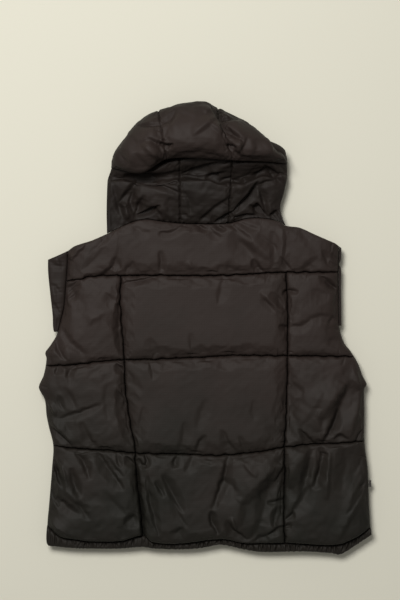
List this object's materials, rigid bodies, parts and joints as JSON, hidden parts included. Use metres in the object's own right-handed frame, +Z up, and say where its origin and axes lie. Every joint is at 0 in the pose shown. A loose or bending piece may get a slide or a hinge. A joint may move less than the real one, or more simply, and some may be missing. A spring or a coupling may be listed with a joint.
{
  "type": "hooded puffer vest",
  "caption": "Sleeveless hooded puffer vest with quilted panels, laid flat face down with its back and hood up.",
  "frame": {"origin": "on the surface that the vest lies on, under the middle of its outline", "axes": "+Z up from the surface, +Y from the hem towards the hood, +X to the right as seen from above"},
  "size_m": [0.5914, 0.8046, 0.104],
  "materials": {
    "shell": "plain-woven nylon shell, matte with a soft sheen, black-brown",
    "hood_shell": "the same nylon shell on the hood",
    "binding": "the same nylon, folded and stitched as bands and hem",
    "zip_tape": "woven polyester zip tape, matte black",
    "zip_metal": "blackened zinc alloy, satin"
  },
  "bodies": {
    "garment": {"back_yoke": "shell", "back_centre": "shell", "back_side_left": "shell", "back_side_right": "shell", "hem_back": "binding", "armhole_band_left_back": "binding", "armhole_band_left_front": "binding", "armhole_band_right_back": "binding", "armhole_band_right_front": "binding", "front_left": "shell", "front_right": "shell", "hem_front_left": "binding", "hem_front_right": "binding", "zip_left": "zip_tape", "zip_right": "zip_tape", "zip_slider": "zip_metal", "hood_left": "hood_shell", "hood_centre": "hood_shell", "hood_right": "hood_shell", "hood_hidden_folds": "hood_shell", "side_tab": "binding"},
    "pull": {"zip_pull": "zip_metal"}
  },
  "joints": [
    {"name": "pull_swing", "type": "hinge", "parent": "garment", "child": "pull", "pos_m": [-0.00034, 0.08046, 0.0027], "axis": [1, 0, 0], "range_deg": [0, 175]}
  ]
}
